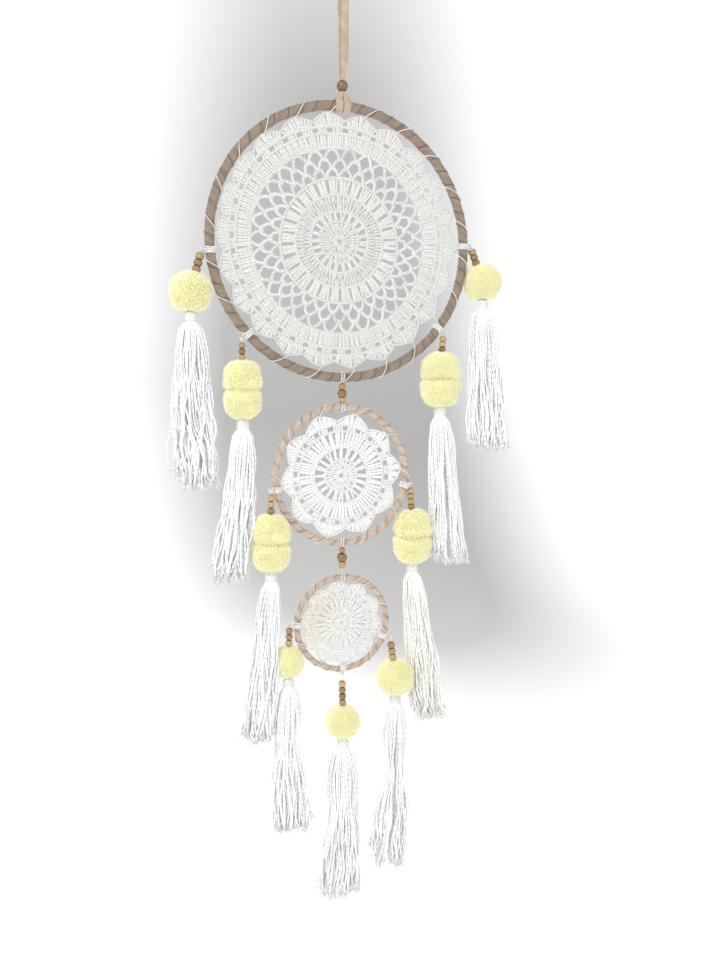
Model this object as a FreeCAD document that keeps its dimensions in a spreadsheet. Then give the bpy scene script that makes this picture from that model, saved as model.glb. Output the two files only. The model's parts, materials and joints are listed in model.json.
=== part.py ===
"""Dream catcher: three ribbon-wrapped hoops in a chain, each holding a crocheted doily, on a suede lace.

Nine strings hang from the hoops. Each is a cord with wooden beads, one or two pompoms and a yarn tassel.
Millimetres. The origin is the hanging point, in the bend of the lace over a nail. +Z is up, the hoops lie
in the XZ plane and the front faces -Y.
"""
import FreeCAD
import Part
import Sketcher
import math
import os

from FreeCAD import Placement, Rotation, Vector

doc = FreeCAD.newDocument("dream_catcher")
sheet = doc.addObject("Spreadsheet::Sheet", "Sizes")
nodes = []

# ---------------------------------------------------------------- driving dimensions

GENERAL_SIZES = {
    "nail_radius": 3.0,
    "lace_width": 7.0,
    "lace_thickness": 1.5,
    "lace_folded_width": 4.2,
    "lace_twist_length": 50.0,
    "lace_strand_offset": 1.35,
    "lace_folded_offset": 0.1,
    "lace_aside": 0.8,
    "lace_strand_gap": 0.3,
    "lace_fold_length": 22.0,
    "lace_fold_end": 1.0,
    "top_bead_radius": 5.2,
    "top_bead_half_length": 4.9,
    "top_bead_hole": 2.8,
    "top_bead_drop": 124.4,
    "hitch_thickness": 1.4,
    "hitch_gap": 0.4,
    "hitch_crown_bottom": 4.6,
    "hitch_crown_top": 2.3,
    "large_centre_drop": 262.0,
    "large_radius": 125.0,
    "large_tube": 4.5,
    "large_ribbon": 0.6,
    "large_scallop_depth": 9.0,
    "large_doily_gap": 1.7,
    "large_tie_thread": 0.8,
    "middle_centre_drop": 473.0,
    "middle_radius": 66.5,
    "middle_tube": 3.2,
    "middle_ribbon": 0.5,
    "middle_scallop_depth": 6.0,
    "middle_doily_gap": 1.6,
    "middle_tie_thread": 0.8,
    "small_centre_drop": 613.0,
    "small_radius": 47.0,
    "small_tube": 2.9,
    "small_ribbon": 0.5,
    "small_scallop_depth": 4.5,
    "small_doily_gap": 1.5,
    "small_tie_thread": 0.8,
    "doily_thickness": 1.8,
    "doily_eye": 3.0,
    "lacing_thread": 0.5,
    "link_tie_thread": 0.3,
    "thread_gap": 0.1,
    "cord_radius": 0.6,
    "bead_hole": 0.8,
    "stack_gap": 0.2,
    "joint_gap": 0.3,
    "tassel_head_radius": 4.6,
    "tassel_head_length": 8.0,
    "binding_radius": 5.5,
    "binding_height": 4.0,
    "tassel_depth": 9.0,
}

# name: tie angle on the hoop, angle of the knot towards the front, reach of the knot past the tie,
# sideways lean of the beads, bead radius, bead half length, pompom radius, pompom half height,
# tassel length, tassel half width at the bottom, sideways drift of the tassel
STRING_COLUMNS = (
    "tie_angle", "front_angle", "knot_reach", "lean", "bead_radius", "bead_half_length",
    "pompom_radius", "pompom_half_height", "tassel_length", "tassel_half_width", "tassel_drift",
)
STRING_SIZES = {
    "outer_left": (-174.4, 0.0, 1.5, -15.5, 3.9, 2.8, 18.0, 17.0, 158.0, 20.0, 1.0),
    "lower_left": (-136.5, 0.0, 1.5, 0.5, 3.1, 2.5, 17.4, 12.9, 151.0, 16.5, -12.5),
    "middle_left": (-169.5, 25.0, 2.0, -0.5, 3.4, 2.9, 17.8, 13.0, 162.0, 15.0, -16.0),
    "small_left": (178.0, -20.0, 2.2, -2.0, 3.4, 2.8, 14.2, 15.0, 153.0, 18.0, -1.0),
    "bottom": (-90.0, 0.0, 1.5, 1.2, 3.6, 2.9, 16.2, 16.0, 162.0, 22.0, -4.0),
    "small_right": (-21.0, 20.0, 3.0, 8.0, 3.7, 2.9, 17.5, 17.3, 177.0, 18.0, -7.0),
    "middle_right": (-9.8, -15.0, 1.5, 5.0, 3.6, 2.5, 18.0, 13.0, 160.0, 17.0, 20.0),
    "lower_right": (-38.0, 0.0, 1.5, -5.0, 3.5, 2.4, 18.5, 12.8, 156.0, 18.0, 12.5),
    "outer_right": (1.5, 0.0, 1.5, 22.0, 3.8, 2.5, 17.8, 16.8, 148.0, 21.0, 11.0),
}
# name: hoop, number of beads, number of pompoms, bare cord between the knot and the first bead
STRING_PARTS = {
    "outer_left": ("large", 3, 1, 0.0),
    "lower_left": ("large", 3, 2, 0.0),
    "middle_left": ("middle", 3, 2, 0.0),
    "small_left": ("small", 3, 1, 0.0),
    "bottom": ("small", 4, 1, 4.0),
    "small_right": ("small", 3, 1, 0.0),
    "middle_right": ("middle", 4, 2, 0.0),
    "lower_right": ("large", 3, 2, 0.0),
    "outer_right": ("large", 3, 1, 0.0),
}
# hoop: number of scallops on its doily, angle of the first lacing loop
HOOPS = {"large": (22, 14.6), "middle": (10, 5.0), "small": (10, 26.0)}
# link: hoop above, hoop below, radius and half length of each bead from the top
LINKS = {
    "upper_link": ("large", "middle", ((3.6, 2.9), (4.5, 3.4), (3.6, 2.3))),
    "lower_link": ("middle", "small", ((3.2, 2.9), (4.9, 3.8), (4.0, 2.9))),
}
# turns of thread in a tie, and the pitch of its turns in radii of the thread
TIE_TURNS, TIE_PITCH = 2, 1.8
LINK_TIE_TURNS, LINK_TIE_PITCH = 3, 2.2
SEAM_ANGLE = 0.5
BEAD_DRILL_LENGTH = 20.0
LACE_TWIST_STEPS = 6
# each level of a tassel's skirt: share of its length, of its half width and of its depth
SKIRT_LEVELS = ((0.2, 0.45, 0.7), (0.5, 0.72, 0.85), (1.0, 1.0, 1.0))
# how far down the tassel's head the binding starts, as a share of the head
BINDING_SHARE = 0.75


def fill_sheet():
    """Writes every driving dimension into the sheet as a plain number with an alias."""
    rows = list(GENERAL_SIZES.items())
    for name, values in STRING_SIZES.items():
        rows += [(f"{name}_{column}", value) for column, value in zip(STRING_COLUMNS, values)]
    for row, (alias, value) in enumerate(rows, start=1):
        sheet.set(f"A{row}", alias)
        sheet.set(f"B{row}", str(value))
        sheet.setAlias(f"B{row}", alias)
    doc.recompute()


def size(alias):
    """Reads a driving dimension back from the sheet."""
    return float(sheet.get(alias))


def make(kind, name, placement=None, **sizes):
    """Adds an object whose sizes are expressions on the sheet, such as Radius="Sizes.cord_radius"."""
    item = doc.addObject(kind, name)
    for prop, expression in sizes.items():
        item.setExpression(prop, expression)
    if placement is not None:
        item.Placement = placement
    return item


def cut(name, base, tool):
    item = doc.addObject("Part::Cut", name)
    item.Base = base
    item.Tool = tool
    return item


def fuse(name, shapes):
    item = doc.addObject("Part::MultiFuse", name)
    item.Shapes = shapes
    return item


def group(name, links):
    """Separate solids of one kind that share a node."""
    item = doc.addObject("Part::Compound", name)
    item.Links = links
    return item


def keep(item, label):
    """Marks an object as a finished sub-part, exported under its label."""
    item.Label = label
    nodes.append(item)
    return item


# ---------------------------------------------------------------- places on the hoops

IN_HOOP_PLANE = Rotation(Vector(1, 0, 0), 90)


def centre(hoop):
    return Vector(0, 0, -size(f"{hoop}_centre_drop"))


def tube_circle(hoop):
    """Radius of the circle that the hoop's tube follows."""
    return size(f"{hoop}_radius") - size(f"{hoop}_tube")


def direction(angle):
    """Unit vector from the hoop's centre, 0 to the right and 90 up."""
    return Vector(math.cos(math.radians(angle)), 0, math.sin(math.radians(angle)))


def on_tube(hoop, angle, along=0.0):
    """Placement on the tube's centre line, its Z axis along the tube, moved along the tube."""
    turned = angle + math.degrees(along / tube_circle(hoop))
    place = centre(hoop) + direction(turned) * tube_circle(hoop)
    tangent = Vector(-direction(turned).z, 0, direction(turned).x)
    return Placement(place, Rotation(Vector(0, 0, 1), tangent))


def sector(hoop, start):
    """Placement of a torus in the hoop's plane, its sweep starting at an angle."""
    return Placement(centre(hoop), IN_HOOP_PLANE * Rotation(Vector(0, 0, 1), start))


# ---------------------------------------------------------------- hoops, doilies and threads


def hoop_core(hoop):
    core = make(
        "Part::Torus", f"{hoop}_core", sector(hoop, 0),
        Radius1=f"Sizes.{hoop}_radius - Sizes.{hoop}_tube",
        Radius2=f"Sizes.{hoop}_tube - Sizes.{hoop}_ribbon - Sizes.thread_gap",
    )
    keep(core, f"{hoop}_hoop_core")


def hoop_wrap(hoop):
    """The ribbon wound round the hoop, as a sleeve with its seam at the top, under the hitch or tie."""
    shells = []
    for name, radius in (
        ("outside", f"Sizes.{hoop}_tube"),
        ("inside", f"Sizes.{hoop}_tube - Sizes.{hoop}_ribbon"),
    ):
        shell = make(
            "Part::Torus", f"{hoop}_wrap_{name}", sector(hoop, 90 + SEAM_ANGLE / 2),
            Radius1=f"Sizes.{hoop}_radius - Sizes.{hoop}_tube", Radius2=radius,
        )
        shell.Angle3 = 360 - SEAM_ANGLE
        shells.append(shell)
    keep(cut(f"{hoop}_wrap", *shells), f"{hoop}_hoop_wrap")


def doily(hoop, scallops, first_angle):
    """A thin disc with a scalloped edge, its tips at the lacing loops, and a round eye."""
    body = doc.addObject("PartDesign::Body", f"{hoop}_doily_body")
    plane = [f for f in body.Origin.OriginFeatures if f.Role == "XZ_Plane"][0]
    sketch = body.newObject("Sketcher::SketchObject", f"{hoop}_doily_outline")
    sketch.AttachmentSupport = [(plane, "")]
    sketch.MapMode = "FlatFace"
    tip = size(f"{hoop}_radius") - 2 * size(f"{hoop}_tube") - size(f"{hoop}_doily_gap")
    valley = tip - size(f"{hoop}_scallop_depth")
    step = 360 / scallops

    def point(radius, angle):
        ray = direction(angle)
        return Vector(ray.x * radius, ray.z * radius, 0)

    for k in range(scallops):
        middle = first_angle + k * step
        arc = Part.Arc(point(valley, middle - step / 2), point(tip, middle), point(valley, middle + step / 2))
        sketch.addGeometry(arc, False)
    eye = sketch.addGeometry(Part.Circle(Vector(0, 0, 0), Vector(0, 0, 1), size("doily_eye")), False)
    sketch.addConstraint(Sketcher.Constraint("Radius", eye, size("doily_eye")))
    sketch.setExpression("Constraints[0]", "Sizes.doily_eye")
    pad = body.newObject("PartDesign::Pad", f"{hoop}_doily_pad")
    pad.Profile = sketch
    pad.setExpression("Length", "Sizes.doily_thickness")
    pad.Midplane = True
    body.Placement = Placement(centre(hoop), Rotation())
    keep(body, f"{hoop}_doily")


def thread_loop(name, place, hoop, thread):
    """One turn of thread round the hoop's tube."""
    return make(
        "Part::Torus", name, place,
        Radius1=f"Sizes.{hoop}_tube + Sizes.thread_gap + {thread}", Radius2=thread,
    )


def lacing(hoop, scallops, first_angle):
    """The loops of the thread that lashes the doily's tips to the hoop."""
    loops = [
        thread_loop(
            f"{hoop}_lacing_{k}", on_tube(hoop, first_angle + k * 360 / scallops), hoop,
            "Sizes.lacing_thread",
        )
        for k in range(scallops)
    ]
    keep(group(f"{hoop}_lacing", loops), f"{hoop}_doily_lacing")


def knot_centre(string):
    """Centre of the knot beside the tie, which the string swings about."""
    hoop = STRING_PARTS[string][0]
    angle = size(f"{string}_tie_angle")
    towards_front = math.radians(size(f"{string}_front_angle"))
    reach = tie_reach(hoop) + size(f"{string}_knot_reach")
    outward = direction(angle) * (tube_circle(hoop) + reach * math.cos(towards_front))
    return centre(hoop) + outward + Vector(0, -reach * math.sin(towards_front), 0)


def tie_reach(hoop):
    """Distance from the tube's centre line to the outside of a string's tie."""
    return size(f"{hoop}_tube") + size("thread_gap") + 2 * size(f"{hoop}_tie_thread")


def knot_radius(string):
    return size(f"{string}_knot_reach") + size("joint_gap")


def string_tie(string):
    """Two turns of thick thread round the hoop, with the knot that the string hangs from."""
    hoop = STRING_PARTS[string][0]
    thread = size(f"{hoop}_tie_thread")
    pitch = TIE_PITCH * thread
    turns = [
        thread_loop(
            f"{string}_tie_turn_{k}",
            on_tube(hoop, size(f"{string}_tie_angle"), (k - (TIE_TURNS - 1) / 2) * pitch),
            hoop, f"Sizes.{hoop}_tie_thread",
        )
        for k in range(TIE_TURNS)
    ]
    knot = make(
        "Part::Sphere", f"{string}_knot", Placement(knot_centre(string), Rotation()),
        Radius=f"Sizes.{string}_knot_reach + Sizes.joint_gap",
    )
    return fuse(f"{string}_tie", turns + [knot])


def link_tie(hoop, angle, side):
    """Fine turns of thread round the hoop where a link is tied on."""
    pitch = LINK_TIE_PITCH * size("link_tie_thread")
    return [
        thread_loop(
            f"{hoop}_{side}_tie_{k}",
            on_tube(hoop, angle, (k - (LINK_TIE_TURNS - 1) / 2) * pitch),
            hoop, "Sizes.link_tie_thread",
        )
        for k in range(LINK_TIE_TURNS)
    ]


def ties(hoop):
    found = [string_tie(string) for string, parts in STRING_PARTS.items() if parts[0] == hoop]
    for above, below, _ in LINKS.values():
        if hoop == above:
            found += link_tie(hoop, -90, "lower")
        if hoop == below:
            found += link_tie(hoop, 90, "upper")
    keep(group(f"{hoop}_ties", found), f"{hoop}_hoop_ties")


# ---------------------------------------------------------------- beads, cords, pompoms and tassels


def bead(name, place, radius, half_length, hole="Sizes.bead_hole"):
    """A round bead with flat ends and a hole along its Z axis."""
    ball = make("Part::Sphere", f"{name}_ball", place, Radius=str(radius))
    ball.setExpression("Angle1", f"-asin({half_length} / {radius})")
    ball.setExpression("Angle2", f"asin({half_length} / {radius})")
    drill_start = place.multVec(Vector(0, 0, -BEAD_DRILL_LENGTH / 2))
    drill = make("Part::Cylinder", f"{name}_drill", Placement(drill_start, place.Rotation), Radius=hole)
    drill.Height = BEAD_DRILL_LENGTH
    return cut(name, ball, drill)


def straight_cord(name, start, end):
    """A round cord between two points."""
    cord = make(
        "Part::Cylinder", name, Placement(start, Rotation(Vector(0, 0, 1), end - start)),
        Radius="Sizes.cord_radius",
    )
    cord.Height = (end - start).Length
    return cord


def pompom(name, place, string):
    return make(
        "Part::Ellipsoid", name, Placement(place, Rotation()),
        Radius1=f"Sizes.{string}_pompom_half_height",
        Radius2=f"Sizes.{string}_pompom_radius",
        Radius3=f"Sizes.{string}_pompom_radius",
    )


def tassel(string, top):
    """A bundle of yarn: a round head, then a skirt that widens and drifts, and the binding round its head."""
    length = size(f"{string}_tassel_length")
    head = size("tassel_head_length")
    round_head = ("Sizes.tassel_head_radius", "Sizes.tassel_head_radius")
    sections = [
        section(f"{string}_tassel_top", top, *round_head),
        section(f"{string}_tassel_neck", top - Vector(0, 0, head), *round_head),
    ]
    for k, (share, width, depth) in enumerate(SKIRT_LEVELS):
        drift = Vector(share * size(f"{string}_tassel_drift"), 0, -head - share * (length - head))
        half_width = f"{width} * Sizes.{string}_tassel_half_width"
        half_depth = f"{depth} * Sizes.tassel_depth"
        sections.append(section(f"{string}_tassel_level_{k}", top + drift, half_width, half_depth))
    skirt = doc.addObject("Part::Loft", f"{string}_tassel_skirt")
    skirt.Sections = sections
    skirt.Solid = True
    skirt.Ruled = True
    ring = Placement(top - Vector(0, 0, head * BINDING_SHARE), Rotation())
    outside = make(
        "Part::Cylinder", f"{string}_binding_outside", ring,
        Radius="Sizes.binding_radius", Height="Sizes.binding_height",
    )
    inside = make(
        "Part::Cylinder", f"{string}_binding_inside", ring,
        Radius="Sizes.tassel_head_radius + Sizes.thread_gap", Height="Sizes.binding_height",
    )
    binding = cut(f"{string}_binding", outside, inside)
    keep(group(f"{string}_tassel_parts", [skirt, binding]), f"{string}_tassel")


def section(name, place, half_width, half_depth):
    """A level ellipse, its longer axis along X."""
    return make(
        "Part::Ellipse", name, Placement(place, Rotation()),
        MajorRadius=half_width, MinorRadius=half_depth,
    )


def hanging_string(string):
    """Beads lean along the cord from the knot to the first pompom; below it everything hangs plumb."""
    _, bead_count, pompom_count, bare_cord = STRING_PARTS[string]
    gap = size("stack_gap")
    lean = math.radians(size(f"{string}_lean"))
    down = Vector(math.sin(lean), 0, -math.cos(lean))
    knot = knot_centre(string)
    start = knot + down * (knot_radius(string) + size("joint_gap"))
    half = size(f"{string}_bead_half_length")
    reach = knot_radius(string) + size("joint_gap") + gap + bare_cord
    turned = Rotation(Vector(0, 0, -1), down)
    beads = []
    for k in range(bead_count):
        place = Placement(knot + down * (reach + half), turned)
        beads.append(
            bead(
                f"{string}_bead_{k}", place, f"Sizes.{string}_bead_radius",
                f"Sizes.{string}_bead_half_length",
            )
        )
        reach += 2 * half + gap
    keep(group(f"{string}_bead_row", beads), f"{string}_beads")

    half_height = size(f"{string}_pompom_half_height")
    place = knot + down * (reach + half_height)
    bend = place
    pompoms = []
    for k in range(pompom_count):
        pompoms.append(pompom(f"{string}_pompom_{k}", place, string))
        place = place - Vector(0, 0, 2 * half_height + gap)
    keep(group(f"{string}_pompom_row", pompoms), f"{string}_pompom")

    top = place + Vector(0, 0, half_height)
    runs = [
        straight_cord(f"{string}_cord_upper", start, bend),
        straight_cord(f"{string}_cord_lower", bend, top),
    ]
    keep(fuse(f"{string}_cord_whole", runs), f"{string}_cord")
    tassel(string, top)


def link(name, above, below, bead_sizes):
    """A short row of beads on a cord between two hoops."""
    reach = size("thread_gap") + 2 * size("link_tie_thread") + size("joint_gap")
    top = centre(above) - Vector(0, 0, size(f"{above}_radius") + reach)
    end = centre(below) + Vector(0, 0, size(f"{below}_radius") + reach)
    keep(straight_cord(f"{name}_thread", top, end), f"{name}_cord")
    place = top
    beads = []
    for k, (radius, half_length) in enumerate(bead_sizes):
        place = place - Vector(0, 0, half_length)
        beads.append(bead(f"{name}_bead_{k}", Placement(place, Rotation()), radius, half_length))
        place = place - Vector(0, 0, half_length + size("stack_gap") / 2)
    keep(group(f"{name}_bead_row", beads), f"{name}_beads")


# ---------------------------------------------------------------- lace, top bead and hitch


def lace_section(place, turn, width):
    """A rectangle across one strand of the lace, turned about the vertical."""
    along = Vector(math.cos(math.radians(turn)), math.sin(math.radians(turn)), 0)
    across = Vector(-along.y, along.x, 0)
    half_width = along * (width / 2)
    half_thickness = across * (size("lace_thickness") / 2)
    corners = [
        place - half_width - half_thickness, place + half_width - half_thickness,
        place + half_width + half_thickness, place - half_width + half_thickness,
    ]
    return Part.makePolygon(corners + corners[:1])


def lace_strand(side):
    """One strand: edge-on at the nail, a quarter turn to face-on, then folded narrower into the bead."""
    width = size("lace_width")
    thickness = size("lace_thickness")
    folded = size("lace_folded_width")
    bead_top = -size("top_bead_drop") + size("top_bead_half_length")
    bead_bottom = -size("top_bead_drop") - size("top_bead_half_length")
    at_nail = size("nail_radius") + thickness / 2
    apart = size("lace_strand_offset")
    aside = size("lace_aside")
    half_step = (thickness + size("lace_strand_gap")) / 2
    twisted = []
    for k in range(LACE_TWIST_STEPS + 1):
        share = k / LACE_TWIST_STEPS
        ease = share * share * (3 - 2 * share)
        x = side * (at_nail + (apart - at_nail) * ease) + aside * ease
        y = -side * half_step * ease
        place = Vector(x, y, -share * size("lace_twist_length"))
        twisted.append(lace_section(place, 90 * (1 - ease), width))
    fold_start = Vector(side * apart + aside, -side * half_step, bead_top + size("lace_fold_length"))
    folded_place = Vector(side * size("lace_folded_offset"), -side * half_step, 0)
    face_on = [lace_section(fold_start, 0, width)]
    for height in (bead_top + size("lace_fold_end"), bead_bottom):
        face_on.append(lace_section(folded_place + Vector(0, 0, height), 0, folded))
    pieces = [Part.makeLoft(twisted, True, False)]
    stations = [twisted[-1]] + face_on
    pieces += [Part.makeLoft(list(pair), True, True) for pair in zip(stations, stations[1:])]
    return pieces


def hanging_lace():
    """The loop of suede lace: the bend over the nail, and two strands down through the top bead."""
    width = size("lace_width")
    start = Vector(0, -width / 2, 0)
    along = Vector(0, 1, 0)
    inner = size("nail_radius")
    outer = inner + size("lace_thickness")
    ring = Part.makeCylinder(outer, width, start, along).cut(Part.makeCylinder(inner, width, start, along))
    upper_half = Part.makeBox(4 * outer, 2 * width, 2 * outer, Vector(-2 * outer, -width, 0))
    bend = ring.common(upper_half)
    lace = bend.fuse(lace_strand(1) + lace_strand(-1)).removeSplitter()
    item = doc.addObject("Part::Feature", "lace")
    item.Shape = lace.Solids[0]
    keep(item, "hanging_lace")


def top_bead():
    place = Placement(Vector(0, 0, -size("top_bead_drop")), Rotation())
    item = bead(
        "lace_bead", place, "Sizes.top_bead_radius", "Sizes.top_bead_half_length", "Sizes.top_bead_hole"
    )
    keep(item, "top_bead")


def lace_hitch():
    """The lark's head knot of the lace on the large hoop: two bands side by side, and their crown."""
    circle = tube_circle("large")
    band = math.degrees(size("lace_width") / circle)
    gap = math.degrees(size("hitch_gap") / circle)
    bands = []
    for side, start in (("right", 90 - gap / 2 - band), ("left", 90 + gap / 2)):
        tori = []
        for name, radius in (
            ("outside", "Sizes.large_tube + Sizes.thread_gap + Sizes.hitch_thickness"),
            ("inside", "Sizes.large_tube + Sizes.thread_gap"),
        ):
            torus = make(
                "Part::Torus", f"hitch_{side}_{name}", sector("large", start),
                Radius1="Sizes.large_radius - Sizes.large_tube", Radius2=radius,
            )
            torus.Angle3 = band
            tori.append(torus)
        bands.append(cut(f"hitch_{side}", *tori))
    crown_bottom = -size("large_centre_drop") + size("large_radius") + size("hitch_thickness") / 2
    crown_top = -size("top_bead_drop") - size("top_bead_half_length") - size("joint_gap")
    crown = make(
        "Part::Cone", "hitch_crown", Placement(Vector(0, 0, crown_bottom), Rotation()),
        Radius1="Sizes.hitch_crown_bottom", Radius2="Sizes.hitch_crown_top",
    )
    crown.Height = crown_top - crown_bottom
    keep(fuse("hitch", bands + [crown]), "lace_hitch")


# ---------------------------------------------------------------- build, check and write


def check(item):
    shape = item.Shape
    if shape.isNull() or not shape.isValid() or not shape.Solids:
        raise RuntimeError(f"{item.Label} has no valid solid")


def write():
    os.makedirs("parts", exist_ok=True)
    for item in nodes:
        check(item)
    for item in nodes:
        item.Shape.exportStep(f"parts/{item.Label}.step")
        print(f"{item.Label}: {len(item.Shape.Solids)} solids, {item.Shape.Volume:.0f} mm3")


fill_sheet()
hanging_lace()
top_bead()
lace_hitch()
for hoop_name, (scallop_count, first_loop) in HOOPS.items():
    hoop_core(hoop_name)
    hoop_wrap(hoop_name)
    doily(hoop_name, scallop_count, first_loop)
    lacing(hoop_name, scallop_count, first_loop)
    ties(hoop_name)
for link_name, (upper_hoop, lower_hoop, link_beads) in LINKS.items():
    link(link_name, upper_hoop, lower_hoop, link_beads)
for string_name in STRING_PARTS:
    hanging_string(string_name)
doc.recompute()
for made in doc.Objects:
    if "Invalid" in made.State or "Error" in made.State:
        raise RuntimeError(f"{made.Label} failed: {made.State}")
write()
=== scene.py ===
"""Looks of the dream catcher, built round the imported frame.

Three ribbon-wound hoops with crocheted doilies hang in a chain from a suede lace, and nine strings of
beads, pompoms and yarn tassels hang from the hoops. Shapes are worked out in millimetres in the part's
frame (+Z up, front -Y) and become metres when their mesh is made.
"""

import json
import math
import zlib

import bmesh
import bpy
import numpy as np
from mathutils import Euler, Matrix, Vector


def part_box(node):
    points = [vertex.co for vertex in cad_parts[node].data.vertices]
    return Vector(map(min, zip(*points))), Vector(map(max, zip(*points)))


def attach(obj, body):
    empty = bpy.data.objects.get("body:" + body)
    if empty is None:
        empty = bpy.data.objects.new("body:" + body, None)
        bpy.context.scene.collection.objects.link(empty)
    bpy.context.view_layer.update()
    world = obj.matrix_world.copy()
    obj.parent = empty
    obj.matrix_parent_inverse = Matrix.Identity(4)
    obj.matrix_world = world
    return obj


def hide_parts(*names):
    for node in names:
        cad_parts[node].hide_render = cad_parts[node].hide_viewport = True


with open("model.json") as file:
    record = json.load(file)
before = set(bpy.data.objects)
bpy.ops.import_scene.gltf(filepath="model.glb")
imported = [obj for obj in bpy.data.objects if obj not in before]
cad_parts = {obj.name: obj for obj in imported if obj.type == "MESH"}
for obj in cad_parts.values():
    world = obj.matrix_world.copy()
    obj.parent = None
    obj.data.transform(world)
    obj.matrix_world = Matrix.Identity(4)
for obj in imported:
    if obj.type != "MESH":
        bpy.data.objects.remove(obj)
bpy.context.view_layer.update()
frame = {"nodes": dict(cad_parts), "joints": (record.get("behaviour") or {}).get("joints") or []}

MM = 0.001
TURN = 2 * math.pi
UP = (0.0, 0.0, 1.0)
BACK = (0.0, 1.0, 0.0)
GOLDEN_ANGLE = math.pi * (3 - math.sqrt(5))

# ---------------- camera, light and room

CAMERA_PLACE = (-0.2519, -0.7945, -0.3935)
CAMERA_YAW, CAMERA_PITCH, CAMERA_ROLL = 18.74, -5.74, 0.14
CAMERA_LENS = 33.75

# name: place in metres, side, power and colour of each area light; all of them aim at the target
LIGHT_TARGET = (0, 0, -0.45)
LIGHTS = {
    "key": ((-1.1, -1.5, 0.7), 0.9, 29, (1.0, 0.99, 0.97)),
    "fill": ((1.6, -1.3, -0.2), 1.4, 7, (0.97, 0.98, 1.0)),
    "rear": ((0.5, 1.6, 0.6), 1.2, 14, (1.0, 1.0, 1.0)),
}
SKY_COLOUR, SKY_STRENGTH = (0.95, 0.97, 1.0, 1), 0.52

# The floor in metres: its level, front edge and half width, the wall behind, and the bend between them.
FLOOR_LEVEL, FLOOR_FRONT, FLOOR_HALF_WIDTH = -1.05, -4.5, 5.0
WALL_PLACE, WALL_TOP = 2.4, 4.0
BEND_RADIUS, BEND_STEPS = 0.9, 12

# The backdrop's painted shadow, a soft grey patch: its middle in metres, how the room is stretched round it,
# start and end.
SHADE_CENTRE = (0.70, 2.00, -0.40)
SHADE_STRETCH = (1.0, 0.50, 0.36)
SHADE_REACH = (0.0, 0.84)
# share of the way out of the painted shadow: the colour there, and how much the backdrop glows with painted
# light, which fades out towards the patch's middle
SHADE_COLOURS = (
    (0.0, (0.62, 0.61, 0.595)),
    (0.5, (0.60, 0.595, 0.58)),
    (0.8, (0.84, 0.84, 0.83)),
    (1.0, (0.96, 0.96, 0.96)),
)
SHADE_GLOW = ((0.5, (0.0, 0.0, 0.0)), (1.0, (1.0, 1.0, 1.0)))
BACKDROP_GLOW = 0.35


def placed(name, data):
    """A new object in the scene that shows the data."""
    made = bpy.data.objects.new(name, data)
    bpy.context.scene.collection.objects.link(made)
    return made


def make_camera():
    camera = placed("camera", bpy.data.cameras.new("camera"))
    camera.location = CAMERA_PLACE
    aim = Euler((math.radians(90 + CAMERA_PITCH), 0, math.radians(-CAMERA_YAW))).to_matrix()
    camera.rotation_euler = (aim @ Matrix.Rotation(math.radians(CAMERA_ROLL), 3, "Z")).to_euler()
    camera.data.lens = CAMERA_LENS
    camera.data.clip_end = 30
    bpy.context.scene.camera = camera


def area_light(name, place, side, power, colour):
    light = bpy.data.lights.new(name, "AREA")
    light.size = side
    light.energy = power
    light.color = colour
    lamp = placed(name, light)
    lamp.location = place
    lamp.rotation_euler = (Vector(LIGHT_TARGET) - Vector(place)).to_track_quat("-Z", "Y").to_euler()


def backdrop():
    """A floor that curves up into a wall behind the object."""
    profile = [(FLOOR_FRONT, FLOOR_LEVEL)]
    for k in range(BEND_STEPS + 1):
        angle = k / BEND_STEPS * math.pi / 2
        profile.append((
            WALL_PLACE - BEND_RADIUS + BEND_RADIUS * math.sin(angle),
            FLOOR_LEVEL + BEND_RADIUS - BEND_RADIUS * math.cos(angle),
        ))
    profile.append((WALL_PLACE, WALL_TOP))
    points = [(x, y, z) for y, z in profile for x in (-FLOOR_HALF_WIDTH, FLOOR_HALF_WIDTH)]
    faces = [(2 * k, 2 * k + 1, 2 * k + 3, 2 * k + 2) for k in range(len(profile) - 1)]
    mesh = bpy.data.meshes.new("floor")
    mesh.from_pydata(points, [], faces)
    mesh.polygons.foreach_set("use_smooth", [True] * len(faces))
    mesh.materials.append(floor_material())
    placed("floor", mesh)


def studio():
    """Soft light from the upper left, weak fill from the right and behind, in front of a pale backdrop."""
    for name, settings in LIGHTS.items():
        area_light(name, *settings)
    world = bpy.data.worlds.new("studio")
    bpy.context.scene.world = world
    world.use_nodes = True
    background = world.node_tree.nodes["Background"]
    background.inputs["Color"].default_value = SKY_COLOUR
    background.inputs["Strength"].default_value = SKY_STRENGTH
    bpy.context.scene.view_settings.view_transform = "Standard"
    bpy.context.scene.view_settings.look = "None"
    backdrop()


# ---------------- materials


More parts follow.
